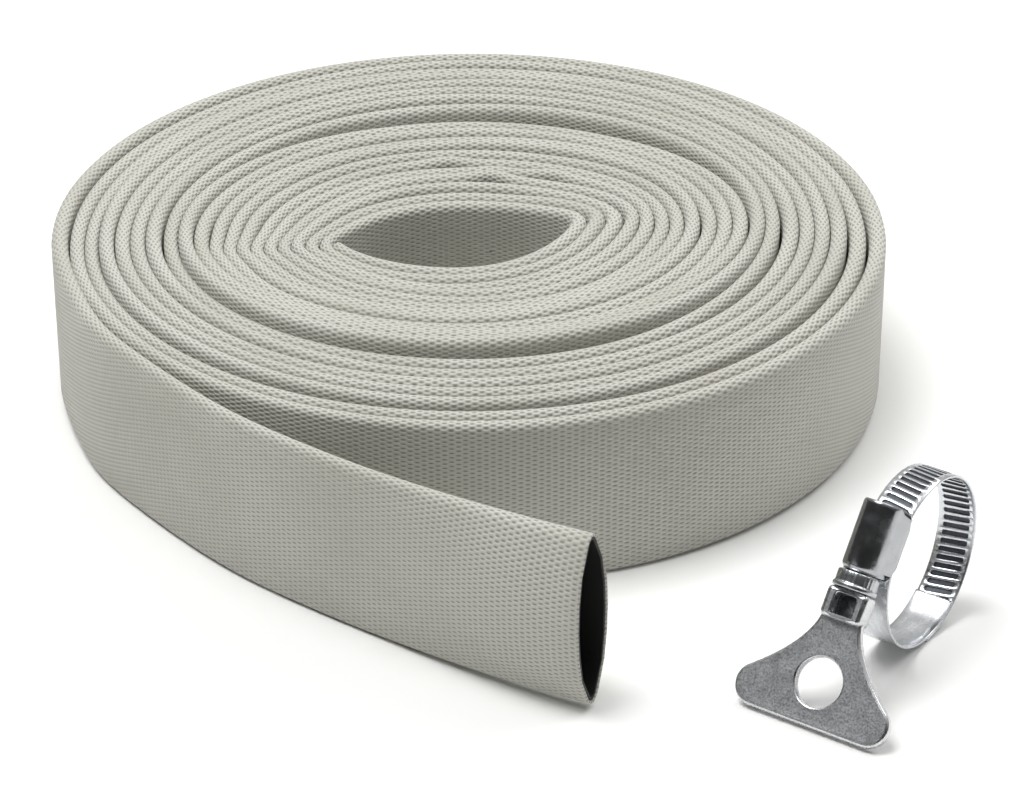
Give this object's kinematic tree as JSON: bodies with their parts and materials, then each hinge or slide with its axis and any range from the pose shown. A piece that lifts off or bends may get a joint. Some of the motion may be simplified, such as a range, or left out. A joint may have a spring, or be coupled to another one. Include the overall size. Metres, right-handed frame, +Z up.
{
  "type": "rolled fire hose",
  "caption": "Flat woven fire hose rolled into a disc with its open end led out, and a loose worm-drive hose clamp with a wing key.",
  "frame": {"origin": "on the floor at the middle of the roll, on its winding axis", "axes": "+X the way the hose's open end points, +Z up along the winding axis, +Y away from the led-out end"},
  "size_m": [0.3295, 0.2925, 0.0558],
  "materials": {
    "jacket": "woven synthetic yarn, matt",
    "lining": "smooth black rubber",
    "band_steel": "bright zinc-plated strip",
    "housing_steel": "zinc-plated pressed sheet",
    "screw_steel": "zinc-plated turned steel",
    "key_steel": "tumbled matt zinc"
  },
  "bodies": {
    "hose": {"hose_roll": "jacket", "jacket_tail": "jacket", "lining_tail": "lining"},
    "clamp": {"clamp_strap": "band_steel", "housing_cover": "housing_steel"},
    "band": {"clamp_rack": "band_steel"},
    "screw": {"worm_screw": "screw_steel", "wing_key": "key_steel"}
  },
  "joints": [
    {"name": "clamp_lift", "type": "slide", "parent": "hose", "child": "clamp", "axis": [0, 0, 1], "range_m": [0, 0.12]},
    {"name": "screw_turn", "type": "hinge", "parent": "clamp", "child": "screw", "pos_m": [0.1786, -0.1062, 0.04437], "axis": [0.0838, 0.596, 0.7986], "range_deg": [0, 2160]},
    {"name": "band_feed", "type": "hinge", "parent": "clamp", "child": "band", "pos_m": [0.182, -0.082, 0.02595], "axis": [0.9903, -0.1392, 0], "range_deg": [0, 34.19]}
  ],
  "couplings": [
    {"joint": "band_feed", "follows": "screw_turn", "ratio": 0.015821}
  ]
}
